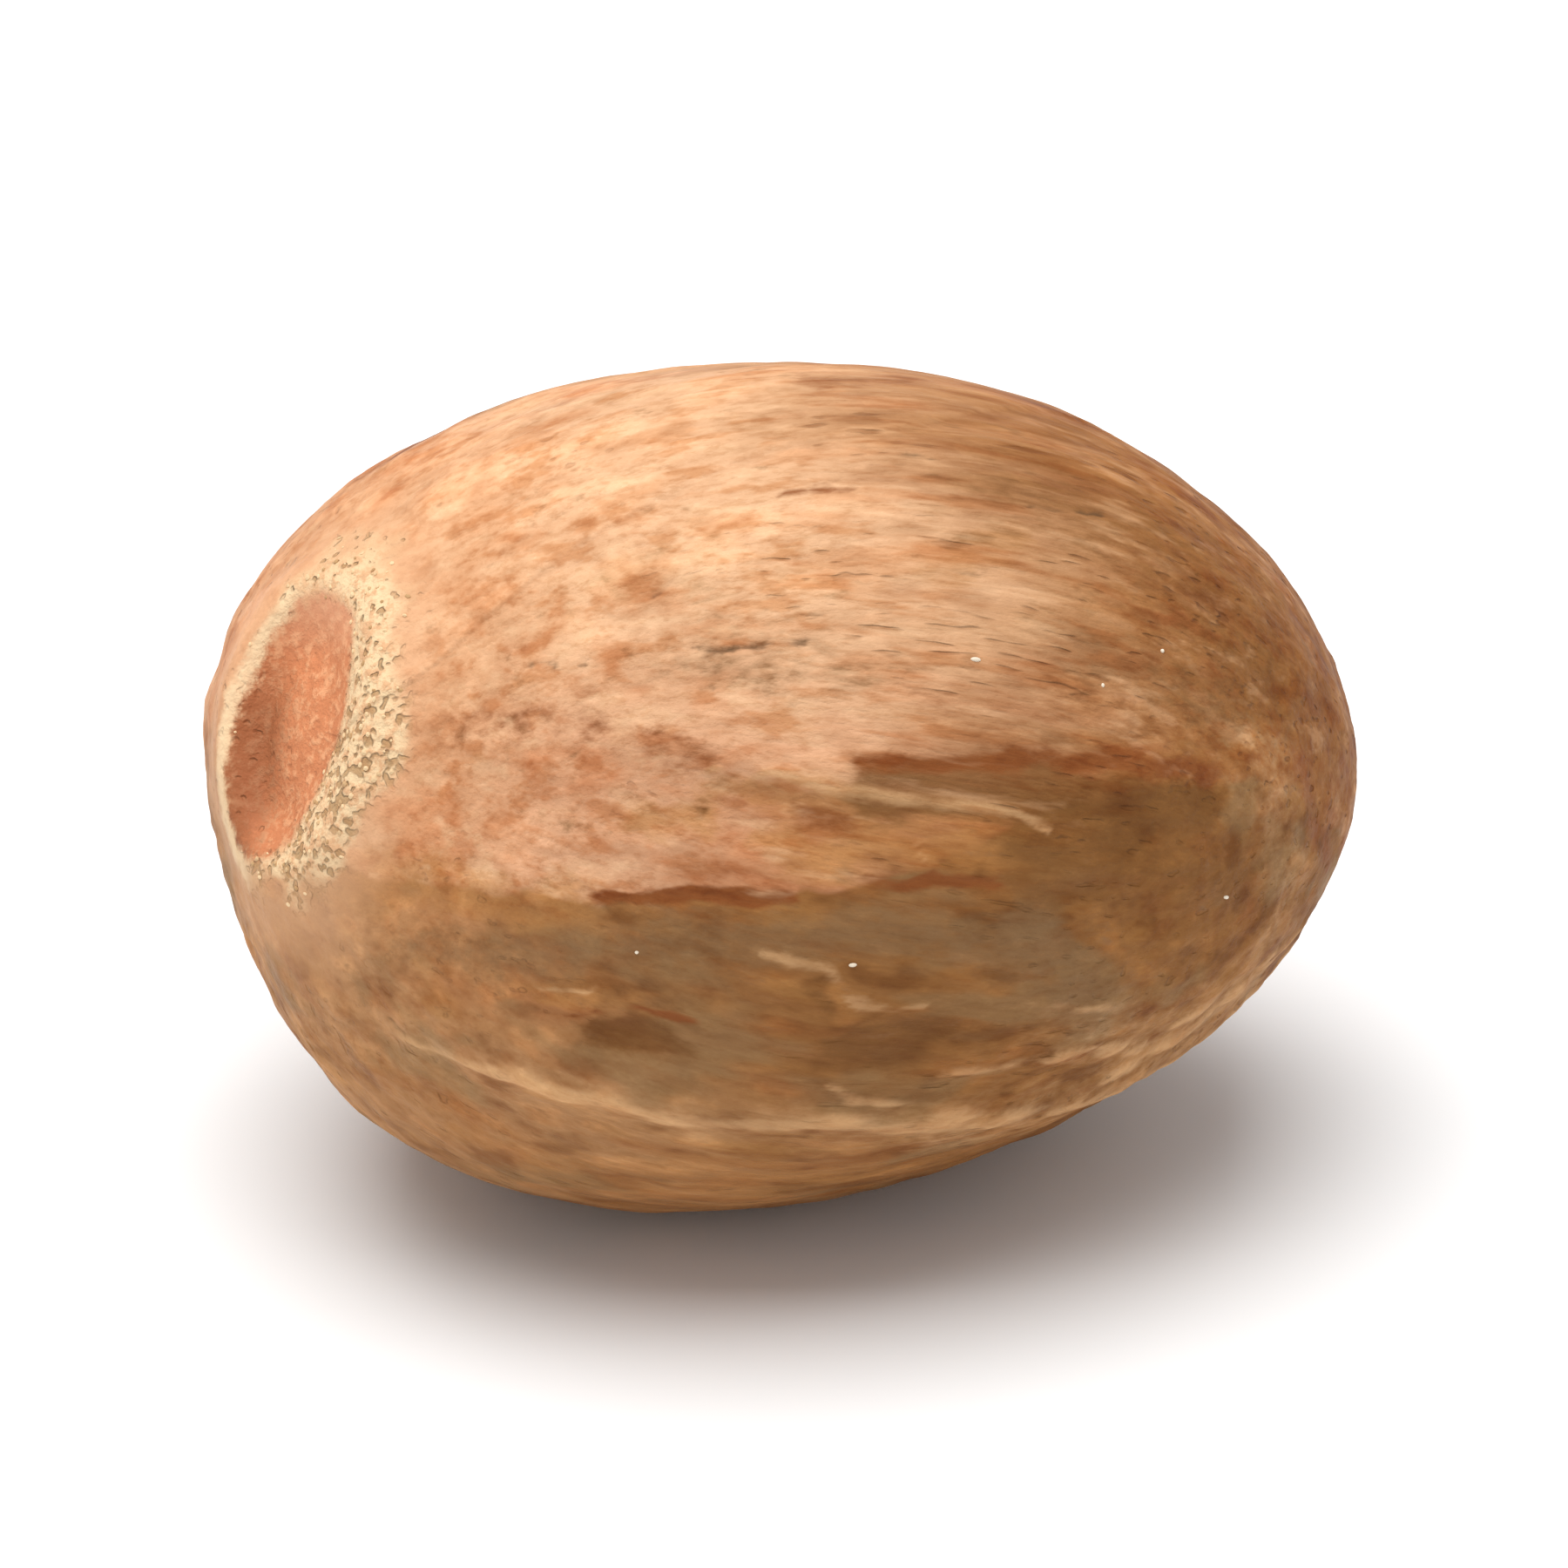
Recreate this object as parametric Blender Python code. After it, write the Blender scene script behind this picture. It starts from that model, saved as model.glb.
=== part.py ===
"""Whole nutmeg: the dried kernel of one seed, lying on its side. One solid, no moving parts.

Frame: metres, +Z up. +X runs along the kernel from its blunt end, which carries the scar of the
stalk, to its tip. The origin is on the surface it lies on, under the middle of its box.

A place on the kernel is (share, degrees): how far it is along the fibres, from 0 at the scar to 1
at the tip, and its angle round them, where 0 faces -Y and 90 is on top.
"""

import bmesh
import bpy
import numpy as np

MM = 0.001

# The kernel before its swellings: half its length, half its breadth and height, and the
# length of a fibre from the scar to the tip.
HALF_LENGTH = 13.3 * MM
HALF_BREADTH = 9.6 * MM
FIBRE_LENGTH = 32.0 * MM

# The two ends of the fibres, as directions from the middle of the kernel.
SCAR_DIRECTION = (-0.846, -0.28, 0.455)
TIP_DIRECTION = (0.95, -0.20, -0.25)

# Swellings and flats: direction, height (flats are negative) and spread in degrees.
SWELLINGS = (
    ((-0.99, 0.07, -0.15), -1.05 * MM, 22),  # blunt end, cut off nearly square
    ((-0.86, 0.35, 0.37), 0.50 * MM, 22),  # shoulder behind the scar
    ((-0.56, -0.35, -0.75), 0.36 * MM, 22),  # full cheek under the scar
    ((0.64, -0.46, -0.61), -0.45 * MM, 22),  # flat under the tip, in front
    ((0.00, -0.51, -0.86), -0.30 * MM, 22),  # flat along the lower front
    ((0.99, -0.16, 0.00), 0.27 * MM, 22),  # drawn-out tip
    ((0.89, 0.11, 0.43), -0.12 * MM, 22),  # slope above the tip
    ((0.30, 0.90, -0.30), -0.35 * MM, 28),  # broad flat at the back
    ((-0.40, 0.85, 0.35), 0.22 * MM, 24),  # full cheek at the back
    ((0.96, -0.07, -0.26), -0.50 * MM, 5.5),  # pit of the main vein, just behind the tip
)

# The scar: a shallow oval dish inside a raised rim. Its long axis runs down the blunt end.
SCAR_LONG_AXIS = (-0.31, -0.52, -0.80)
RIM_HALF_LONG = 3.65 * MM
RIM_HALF_SHORT = 2.6 * MM
RIM_HEIGHT = 0.22 * MM
# The next four are shares of the rim's half size.
RIM_SPREAD = 0.22
DISH_EDGE = 0.92
DISH_FLOOR_OUTER = 0.55  # where the short steep wall away from the body ends
DISH_FLOOR_INNER = 0.15  # where the long gentle slope on the body's side ends
DISH_DEPTH = 0.72 * MM

# Folds that run with the fibres, all round.
FOLDS_ROUND = 9
FOLD_HEIGHT = 0.05 * MM
FOLD_FADE = 0.25  # share of the fibres over which folds die out at each end

# Raised veins: the places they run through, then height and half width.
VEINS = (
    (((0.20, -57), (0.34, -40), (0.55, -32), (0.69, -36), (0.93, -50)), 0.14 * MM, 0.60 * MM),
    (((0.10, 25), (0.30, 32), (0.45, 28), (0.62, 23), (0.84, 22)), 0.11 * MM, 0.55 * MM),
    (((0.18, 150), (0.45, 144), (0.70, 149), (0.92, 143)), 0.12 * MM, 0.60 * MM),
    (((0.16, -118), (0.40, -112), (0.66, -120), (0.90, -114)), 0.12 * MM, 0.60 * MM),
)

# The groove of the seed's main vein, on the back, from the scar to the pit.
GROOVE = (((0.08, 192), (0.35, 199), (0.60, 196), (0.97, 190)), -0.22 * MM, 0.55 * MM)
LINE_FADE = 0.12  # share of the fibres over which veins and groove rise and die out

# Dents: place, depth as a negative height, and radius.
DENTS = (
    ((0.55, -13), -0.15 * MM, 1.0 * MM),
    ((0.36, -20), -0.13 * MM, 1.1 * MM),
    ((0.58, 41), -0.18 * MM, 1.3 * MM),
    ((0.45, 172), -0.18 * MM, 1.3 * MM),
    ((0.66, -84), -0.16 * MM, 1.2 * MM),
)

REST_CUT = 0.30 * MM  # how much the flat that it rests on takes off the lowest point

MERIDIANS = 96
RINGS = 48
RING_CROWDING = 1.35  # above 1 the rings lie closer at the scar than at the tip


def unit(vectors):
    vectors = np.asarray(vectors, float)
    return vectors / np.linalg.norm(vectors, axis=-1, keepdims=True)


def smooth_step(share):
    share = np.clip(share, 0.0, 1.0)
    return share * share * (3.0 - 2.0 * share)


def bump(distance, radius):
    return np.exp(-((distance / radius) ** 2))


def directions_at(share, degrees):
    """The directions from the middle of the kernel to these places.

    Straight fibres would join opposite ends. The shift brings both ends round to the front.
    """
    scar, tip = unit(SCAR_DIRECTION), unit(TIP_DIRECTION)
    along = unit(tip - scar)
    front = unit(np.cross(along, (0.0, 0.0, 1.0)))
    above = np.cross(front, along)
    bend_side = unit(scar + tip)
    bend = np.arcsin(scar @ bend_side)
    shift = bend_side * np.tan(bend / 2.0)

    polar = np.pi * share[:, None]
    angle = np.radians(degrees)[:, None]
    sideways = np.cos(angle) * front + np.sin(angle) * above
    moved = sideways * np.sin(polar) - along * np.cos(polar) + shift
    scale = (1.0 - shift @ shift) / np.sum(moved**2, axis=1, keepdims=True)
    return unit(scale * moved + shift)


def smooth_kernel(directions):
    """Surface points of the smooth kernel in these directions, and its outward normals."""
    half_sizes = np.array((HALF_LENGTH, HALF_BREADTH, HALF_BREADTH))
    normals = unit(directions / half_sizes)
    height = np.zeros(len(directions))
    for direction, peak, spread in SWELLINGS:
        cosine = directions @ unit(direction)
        height += peak * np.exp((cosine - 1.0) / np.radians(spread) ** 2)
    return directions * half_sizes + normals * height[:, None], normals


def across(share, degrees, centre):
    """Distance round the kernel from the angle centre to these places."""
    turn = (degrees - centre + 180.0) % 360.0 - 180.0
    return np.radians(turn) * HALF_BREADTH * np.sin(np.pi * share)


def fold_relief(share, degrees):
    """Low rounded folds of uneven width along the fibres."""
    angle = np.radians(degrees)
    wander = 0.9 * np.sin(2.0 * angle + 1.3) + 0.5 * np.sin(3.0 * angle + 5.0 * share)
    fade = smooth_step(share / FOLD_FADE) * smooth_step((1.0 - share) / FOLD_FADE)
    return FOLD_HEIGHT * fade * np.cos(FOLDS_ROUND * angle + wander)


def line_relief(share, degrees, line):
    """A rounded cord, or a groove where its height is negative, through the line's places."""
    places, height, half_width = line
    shares, angles = zip(*places)
    start, end = shares[0], shares[-1]
    fade = smooth_step((share - start) / LINE_FADE) * smooth_step((end - share) / LINE_FADE)
    sideways = across(share, degrees, np.interp(share, shares, angles))
    return height * fade * bump(sideways, half_width)


def dent_relief(share, degrees, dent):
    place, height, radius = dent
    sideways = across(share, degrees, place[1])
    return height * bump(np.hypot(sideways, (share - place[0]) * FIBRE_LENGTH), radius)


def scar_relief(points, middle, normal):
    """Height of the scar's rim less the depth of its dish, along the scar's normal."""
    long_axis = np.array(SCAR_LONG_AXIS)
    long_axis = unit(long_axis - (long_axis @ normal) * normal)
    short_axis = np.cross(long_axis, normal)
    offset = points - middle
    away = offset @ short_axis / RIM_HALF_SHORT  # positive on the side away from the body
    reach = np.hypot(offset @ long_axis / RIM_HALF_LONG, away)
    outer_side = smooth_step(0.5 + away)
    floor = DISH_FLOOR_INNER + (DISH_FLOOR_OUTER - DISH_FLOOR_INNER) * outer_side
    dish = smooth_step((DISH_EDGE - reach) / (DISH_EDGE - floor))
    same_end = offset @ normal > -RIM_HALF_LONG
    return same_end * (RIM_HEIGHT * bump(reach - 1.0, RIM_SPREAD) - DISH_DEPTH * dish)


def kernel_points(share, degrees):
    """The finished surface at these places, from the middle of the kernel.

    The first place is the middle of the scar.
    """
    points, normals = smooth_kernel(directions_at(share, degrees))
    scar_middle, scar_normal = points[0], normals[0]
    height = fold_relief(share, degrees)
    for line in (*VEINS, GROOVE):
        height += line_relief(share, degrees, line)
    for dent in DENTS:
        height += dent_relief(share, degrees, dent)
    points = points + normals * height[:, None]
    return points + scar_relief(points, scar_middle, scar_normal)[:, None] * scar_normal


def put_on_ground(points):
    """Flattens the lowest point, then puts the flat on the ground and the box over the origin."""
    points[:, 2] = np.maximum(points[:, 2], points[:, 2].min() + REST_CUT)
    low, high = points.min(axis=0), points.max(axis=0)
    origin = (low + high) / 2.0
    origin[2] = low[2]
    return points - origin


def skin_material():
    material = bpy.data.materials.new("dry_kernel")
    material.use_nodes = True
    shader = material.node_tree.nodes["Principled BSDF"]
    shader.inputs["Base Color"].default_value = (0.47, 0.24, 0.115, 1.0)
    shader.inputs["Roughness"].default_value = 0.62
    shader.inputs["Metallic"].default_value = 0.0
    return material


def make_nutmeg():
    bm = bmesh.new()
    bmesh.ops.create_uvsphere(bm, u_segments=MERIDIANS, v_segments=RINGS, radius=1.0)
    bm.verts.ensure_lookup_table()
    # Rings count down from the sphere's top, so the top pole becomes the scar.
    order = sorted(bm.verts, key=lambda vert: -vert.co.z)
    grid = np.array([vert.co for vert in order])
    share = (np.arccos(np.clip(grid[:, 2], -1.0, 1.0)) / np.pi) ** RING_CROWDING
    degrees = np.degrees(np.arctan2(grid[:, 1], grid[:, 0]))
    for vert, point in zip(order, put_on_ground(kernel_points(share, degrees))):
        vert.co = point
    bmesh.ops.recalc_face_normals(bm, faces=bm.faces[:])
    mesh = bpy.data.meshes.new("nutmeg")
    bm.to_mesh(mesh)
    bm.free()
    mesh.shade_smooth()
    mesh.materials.append(skin_material())
    nutmeg = bpy.data.objects.new("nutmeg", mesh)
    bpy.context.scene.collection.objects.link(nutmeg)


for old in list(bpy.data.objects):
    bpy.data.objects.remove(old)
make_nutmeg()
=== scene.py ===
"""Whole nutmeg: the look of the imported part. Metres, +Z up, in the part's own frame.

+X runs along the kernel from its blunt end, which carries the scar of the stalk, to its tip.
A place on the kernel is (share, degrees): how far it is along the fibres, from 0 at the scar to 1
at the tip, and its angle round them, where 0 faces -Y and 90 is on top.
"""

import math
import random

import bpy
import numpy as np
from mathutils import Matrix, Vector


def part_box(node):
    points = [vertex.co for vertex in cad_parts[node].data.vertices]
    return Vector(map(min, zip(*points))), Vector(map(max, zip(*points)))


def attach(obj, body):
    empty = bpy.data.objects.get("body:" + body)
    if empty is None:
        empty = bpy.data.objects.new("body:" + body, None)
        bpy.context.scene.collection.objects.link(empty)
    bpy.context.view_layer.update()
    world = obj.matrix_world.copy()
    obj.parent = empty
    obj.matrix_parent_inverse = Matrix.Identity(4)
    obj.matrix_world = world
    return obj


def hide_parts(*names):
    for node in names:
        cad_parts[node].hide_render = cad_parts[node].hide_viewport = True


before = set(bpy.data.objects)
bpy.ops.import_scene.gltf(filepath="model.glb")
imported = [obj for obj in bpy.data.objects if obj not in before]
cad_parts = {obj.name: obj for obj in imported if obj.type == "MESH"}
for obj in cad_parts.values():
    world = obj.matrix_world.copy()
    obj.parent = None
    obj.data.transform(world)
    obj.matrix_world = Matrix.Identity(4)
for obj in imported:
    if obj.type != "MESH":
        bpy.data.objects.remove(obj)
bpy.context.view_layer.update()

# ---------------------------------------------------------------------------------------------
# The kernel: the dried seed out of its shell, one solid piece. A thin dull skin, tan to russet,
# is drawn into fine wrinkles along the fibres and worn back to paler flesh on veins and ridges.
# At the blunt end the stalk has left an oval dish inside a raised mealy rim.
# ---------------------------------------------------------------------------------------------

MM = 0.001

# Sizes that the kernel's tree takes by name, in metres.
KERNEL_SIZES = {
    "half length": 13.3 * MM,
    "half breadth": 9.6 * MM,
    "fibre length": 32.0 * MM,
    "rim half long": 3.65 * MM,
    "rim half short": 2.6 * MM,
    "rim height": 0.22 * MM,
    "dish depth": 0.72 * MM,
    "fold height": 0.05 * MM,
    "wrinkle height": 0.125 * MM,
    "streak height": 0.022 * MM,
    "meal height": 0.045 * MM,
    "rest cut": 0.30 * MM,
}

# The two ends of the fibres, as directions from the middle of the kernel.
SCAR_DIRECTION = (-0.846, -0.28, 0.455)
TIP_DIRECTION = (0.95, -0.20, -0.25)

# Swellings and flats: direction, height (flats are negative) and spread in degrees.
SWELLINGS = (
    ((-0.99, 0.07, -0.15), -1.05 * MM, 22),  # blunt end, cut off nearly square
    ((-0.86, 0.35, 0.37), 0.50 * MM, 22),  # shoulder behind the scar
    ((-0.56, -0.35, -0.75), 0.36 * MM, 22),  # full cheek under the scar
    ((0.64, -0.46, -0.61), -0.45 * MM, 22),  # flat under the tip, in front
    ((0.00, -0.51, -0.86), -0.30 * MM, 22),  # flat along the lower front
    ((0.99, -0.16, 0.00), 0.27 * MM, 22),  # drawn-out tip
    ((0.89, 0.11, 0.43), -0.12 * MM, 22),  # slope above the tip
    ((0.30, 0.90, -0.30), -0.35 * MM, 28),  # broad flat at the back
    ((-0.40, 0.85, 0.35), 0.22 * MM, 24),  # full cheek at the back
    ((0.96, -0.07, -0.26), -0.50 * MM, 5.5),  # pit of the main vein, just behind the tip
)

# The scar's long axis runs down the blunt end. The next four are shares of the rim's half size.
SCAR_LONG_AXIS = (-0.31, -0.52, -0.80)
RIM_SPREAD = 0.22
DISH_EDGE = 0.92
DISH_FLOOR_OUTER = 0.55
DISH_FLOOR_INNER = 0.15

FOLDS_ROUND = 9
FOLD_FADE = 0.25  # share of the fibres over which folds die out at each end

# Raised veins, and the groove of the main vein on the back: places, height, half width.
VEINS = (
    (((0.20, -57), (0.34, -40), (0.55, -32), (0.69, -36), (0.93, -50)), 0.14 * MM, 0.60 * MM),
    (((0.10, 25), (0.30, 32), (0.45, 28), (0.62, 23), (0.84, 22)), 0.11 * MM, 0.55 * MM),
    (((0.18, 150), (0.45, 144), (0.70, 149), (0.92, 143)), 0.12 * MM, 0.60 * MM),
    (((0.16, -118), (0.40, -112), (0.66, -120), (0.90, -114)), 0.12 * MM, 0.60 * MM),
    (((0.08, 192), (0.35, 199), (0.60, 196), (0.97, 190)), -0.22 * MM, 0.55 * MM),
)
VEIN_FADE = 0.12  # share of the fibres over which veins rise and die out

# Dents: place, depth as a negative height, and radius.
DENTS = (
    ((0.55, -13), -0.15 * MM, 1.0 * MM),
    ((0.36, -20), -0.13 * MM, 1.1 * MM),
    ((0.58, 41), -0.18 * MM, 1.3 * MM),
    ((0.45, 172), -0.18 * MM, 1.3 * MM),
    ((0.66, -84), -0.16 * MM, 1.2 * MM),
)

MERIDIANS = 440
RINGS = 219
RING_CROWDING = 1.35  # above 1 the rings lie closer at the scar than at the tip

# Where the meal round the scar ends and where it is full, in shares of the rim's half size.
MEAL_END = 1.42
MEAL_FULL = 0.98

# The bare bottom of the dish is a narrower oval, shifted away from the body and down. These are
# its half length, half width, shift and slant, in shares of the rim's half size.
BARE_HALF_LONG = 0.86
BARE_HALF_SHORT = 0.66
BARE_SHIFT = 0.16
BARE_SLANT = 0.16
FAR_AWAY = 9.0  # added at the kernel's other end, where nothing of the scar shows

# Marks of the skin by kind: each runs through its places with a half width in mm and a strength.
MARKS = {
    "pale": [  # worn crests of veins and small ridges
        (((0.27, -51), (0.34, -40), (0.43, -37), (0.54, -32), (0.61, -34)), 0.20, 0.85),
        (((0.61, -32), (0.69, -36), (0.76, -43), (0.82, -48), (0.89, -48), (0.95, -40)), 0.26, 0.8),
        (((0.328, 29), (0.38, 29), (0.438, 28.7), (0.483, 28.7), (0.545, 29), (0.581, 27)), 0.20, 0.8),
        (((0.42, -1.4), (0.45, -2.6), (0.47, -4.5)), 0.17, 0.75),
        (((0.491, -7.5), (0.513, -6.4), (0.543, -7.2)), 0.11, 0.7),
        (((0.511, -24.7), (0.534, -26.5), (0.56, -27), (0.587, -26.2)), 0.15, 0.8),
        (((0.588, -20), (0.619, -20), (0.66, -18.9), (0.704, -19), (0.765, -25.7)), 0.17, 0.8),
        (((0.62, -4.9), (0.656, -5.9), (0.693, -6.9)), 0.12, 0.55),
        (((0.64, -38), (0.76, -40), (0.88, -34)), 1.50, 0.45),
        (((0.74, 50), (0.78, 46), (0.83, 30), (0.86, 10)), 1.30, 0.40),
        (((0.68, -14), (0.75, -18), (0.82, -14)), 1.40, 0.35),
        (((0.27, -51), (0.34, -40), (0.43, -37), (0.54, -32), (0.61, -34)), 0.80, 0.45),
        (((0.74, -33), (0.80, -30), (0.87, -22), (0.93, -12)), 0.22, 0.7),
        (((0.79, -22), (0.84, -20), (0.90, -8)), 0.16, 0.6),
        (((0.292, -23), (0.31, -21), (0.327, -19)), 0.16, 0.8),
        (((0.491, 21.5), (0.497, 18)), 0.12, 0.8),
        (((0.24, 70), (0.30, 72), (0.36, 70)), 1.60, 0.35),
    ],
    "ochre": [  # yellower skin
        (((0.15, -26), (0.18, -14), (0.22, -10), (0.26, -8.5), (0.275, -4)), 0.80, 0.9),
        (((0.285, 17), (0.333, 19)), 0.55, 0.8),
        (((0.314, -24.7), (0.334, -20.4), (0.353, -18)), 0.32, 0.9),
        (((0.475, -7), (0.49, -11)), 0.38, 0.7),
        (((0.341, 26.4), (0.381, 25.3), (0.417, 26.8), (0.447, 26.1)), 0.42, 0.8),
        (((0.385, 18.8), (0.409, 16), (0.436, 14.8)), 0.50, 0.6),
        (((0.44, 21), (0.52, 22), (0.60, 24)), 1.20, 0.65),
        (((0.47, 69), (0.50, 76)), 0.80, 0.6),
        (((0.30, -62), (0.45, -58), (0.60, -52), (0.75, -50)), 1.30, 0.5),
        (((0.97, 60), (0.97, 20)), 0.80, 0.4),
    ],
    "russet": [  # redder skin in shallow grooves
        (((0.295, -1.3), (0.313, 2.6), (0.339, 4.7), (0.368, 5.6), (0.39, 6.6), (0.417, 8.6)), 0.20, 1.3),
        (((0.463, 13.5), (0.487, 14.4), (0.503, 16.4), (0.536, 15.5), (0.567, 15.7)), 0.20, 1.2),
        (((0.333, -26), (0.342, -22.7), (0.354, -20.3), (0.376, -19.2), (0.403, -18)), 0.14, 1.0),
        (((0.14, 33), (0.22, 36), (0.294, 31.4), (0.32, 30)), 0.60, 0.45),
        (((0.40, 24), (0.43, 23)), 0.40, 0.8),
        (((0.437, 34), (0.484, 36), (0.533, 38), (0.583, 40), (0.634, 42), (0.70, 44)), 0.36, 1.0),
        (((0.80, 56), (0.84, 44), (0.92, 33)), 0.50, 0.6),
        (((0.36, 85), (0.41, 84)), 0.15, 0.8),
        (((0.46, 45), (0.54, 48), (0.60, 49)), 1.00, 0.30),
        (((0.42, 116), (0.48, 118)), 0.50, 0.5),
        (((0.97, -60), (0.95, -20)), 0.60, 0.5),
    ],
    "brown": [  # darker skin in dents and hollows
        (((0.47, 31), (0.533, 32), (0.60, 34), (0.66, 36), (0.70, 37)), 0.72, 1.0),
        (((0.555, 24), (0.60, 25), (0.66, 28)), 0.60, 0.8),
        (((0.60, 18), (0.70, 22), (0.76, 22)), 1.10, 0.6),
        (((0.525, -15.5), (0.555, -14.5)), 0.85, 1.3),
        (((0.356, -26), (0.374, -25.5), (0.394, -22.2)), 0.48, 1.0),
        (((0.326, 20.1), (0.331, 20.1)), 0.15, 0.9),
        (((0.46, -5), (0.475, -9)), 0.22, 0.8),
        (((0.66, 62), (0.74, 62), (0.86, 70)), 1.60, 0.40),
        (((0.52, 88), (0.60, 88), (0.72, 84)), 2.40, 0.55),
        (((0.45, 30), (0.49, 33), (0.56, 34)), 1.00, 0.80),
    ],
    "grey": [  # dull grey-olive skin
        (((0.213, -31), (0.242, -25), (0.278, -17), (0.30, -10)), 0.80, 0.6),
        (((0.336, -5), (0.38, -2), (0.423, 1), (0.463, 5), (0.538, 7), (0.596, 5)), 0.95, 0.75),
        (((0.60, 12), (0.647, 2), (0.70, -11)), 0.90, 0.7),
        (((0.56, 60), (0.62, 58), (0.70, 55)), 1.20, 0.45),
        (((0.31, 51), (0.36, 52), (0.42, 52)), 1.60, 0.40),
    ],
    "crack": [  # short dark cracks along the fibres
        (((0.305, 53), (0.335, 53.5), (0.369, 54.2)), 0.13, 0.9),
        (((0.362, 58.5), (0.384, 59.1)), 0.10, 0.7),
        (((0.191, 50), (0.219, 51)), 0.08, 0.6),
        (((0.30, 44.8), (0.318, 44.1)), 0.10, 0.8),
        (((0.268, 65.7), (0.273, 65.7)), 0.10, 0.8),
        (((0.37, 87), (0.40, 87)), 0.07, 0.8),
        (((0.421, 94.6), (0.451, 92.9)), 0.10, 0.7),
        (((0.52, 85), (0.55, 86), (0.58, 87)), 0.09, 0.8),
        (((0.258, -52), (0.264, -51)), 0.12, 1.0),
        (((0.278, -49), (0.291, -46)), 0.08, 0.9),
        (((0.48, 69), (0.50, 70)), 0.08, 0.6),
    ],
}

# The sides without marks of their own get some at random: how many, length and half width in mm.
RANDOM_MARKS = {
    "pale": (9, 3.5, 0.25),
    "ochre": (6, 3.0, 0.60),
    "russet": (9, 3.0, 0.35),
    "brown": (8, 2.0, 0.50),
    "grey": (6, 4.0, 0.90),
    "crack": (14, 1.0, 0.09),
}
STEP_HEIGHT = 0.05 * MM  # the paler skin stands this much above the browner at their border
MARK_SPREAD = 1.8  # a mark has faded out at this many of its half widths
MARK_HEIGHTS = {  # how far each kind stands out of the skin or sinks into it
    "pale": 0.08 * MM,
    "ochre": 0.02 * MM,
    "russet": -0.03 * MM,
    "brown": -0.05 * MM,
    "grey": -0.02 * MM,
    "crack": -0.06 * MM,
}


# Where the browner skin of the lower side begins: places along its ragged upper border.
BORDER = (
    (0.06, -60), (0.13, -30), (0.18, -16), (0.23, -8), (0.29, -1), (0.35, 6),
    (0.41, 9), (0.46, 13), (0.50, 19), (0.55, 27), (0.62, 36), (0.72, 44), (0.85, 50),
)
BACK_BORDER = 205.0  # degrees at which the browner skin ends again, on the back


class Term:
    """A number, vector or colour inside a node tree. Signs between terms add nodes."""

    def __init__(self, socket):
        self.socket = socket
        self.tree = socket.id_data

    def __add__(self, other):
        return self.sign("ADD", self, other)

    def __radd__(self, other):
        return self.sign("ADD", other, self)

    def __sub__(self, other):
        return self.sign("SUBTRACT", self, other)

    def __rsub__(self, other):
        return self.sign("SUBTRACT", other, self)

    def __mul__(self, other):
        return self.sign("MULTIPLY", self, other)

    def __rmul__(self, other):
        return self.sign("MULTIPLY", other, self)

    def __truediv__(self, other):
        return self.sign("DIVIDE", self, other)

    def __rtruediv__(self, other):
        return self.sign("DIVIDE", other, self)

    def sign(self, operation, left, right):
        kinds = [is_vector(left), is_vector(right)]
        if not any(kinds):
            return number(self.tree, operation, left, right)
        if all(kinds) or operation in ("ADD", "SUBTRACT"):
            return vector(self.tree, operation, left, right)
        if kinds[1]:
            left, right = right, left
        if operation == "DIVIDE":
            right = 1.0 / right
        return vector(self.tree, "SCALE", left, Scale=right)


def is_vector(value):
    return value.socket.type == "VECTOR" if isinstance(value, Term) else hasattr(value, "__len__")


def wire(value, socket):
    if isinstance(value, Term):
        value.tree.links.new(value.socket, socket)
    else:
        socket.default_value = value


def node(tree, kind, inputs, output=0, **settings):
    """Adds a node, wires its inputs by name or number, and returns one of its outputs."""
    added = tree.nodes.new(kind)
    for name, value in settings.items():
        setattr(added, name, value)
    for name, value in inputs.items():
        wire(value, added.inputs[name])
    return Term(added.outputs[output])


def number(tree, operation, *values):
    return node(tree, "ShaderNodeMath", dict(enumerate(values)), operation=operation)


def vector(tree, operation, *values, output="Vector", **named):
    inputs = {**dict(enumerate(values)), **named}
    return node(tree, "ShaderNodeVectorMath", inputs, output, operation=operation)


def dot(left, right):
    return vector(left.tree, "DOT_PRODUCT", left, right, output="Value")


def cross(left, right):
    return vector(left.tree, "CROSS_PRODUCT", left, right)


def length(value):
    return vector(value.tree, "LENGTH", value, output="Value")


def unit(value):
    return vector(value.tree, "NORMALIZE", value)


def hypot(left, right):
    return number(left.tree, "SQRT", left * left + right * right)


def bump_over(distance, radius):
    """1 at no distance, falling like a bell over the radius."""
    share = distance / radius
    return number(distance.tree, "EXPONENT", -1.0 * share * share)


def rise(value, start, end, top=1.0):
    """0 before the start, the top past the end, smooth between. The end may come first."""
    inputs = {"Value": value, "From Min": start, "From Max": end, "To Max": top}
    return node(value.tree, "ShaderNodeMapRange", inputs, interpolation_type="SMOOTHSTEP")


def parts(value):
    split = value.tree.nodes.new("ShaderNodeSeparateXYZ")
    wire(value, split.inputs[0])
    return [Term(output) for output in split.outputs]


def joined(tree, x, y, z):
    return node(tree, "ShaderNodeCombineXYZ", {"X": x, "Y": y, "Z": z})


def noise(place, grain, stretch=1.0, detail=2.0, roughness=0.5, start=(0.0, 0.0, 0.0), output=0):
    """Soft random values round 0.5, with grains this many mm across, stretched along x."""
    inputs = {
        "Vector": place * (1.0 / stretch, 1.0, 1.0) + start,
        "Scale": 1.0 / grain,
        "Detail": detail,
        "Roughness": roughness,
    }
    return node(place.tree, "ShaderNodeTexNoise", inputs, output)


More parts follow.
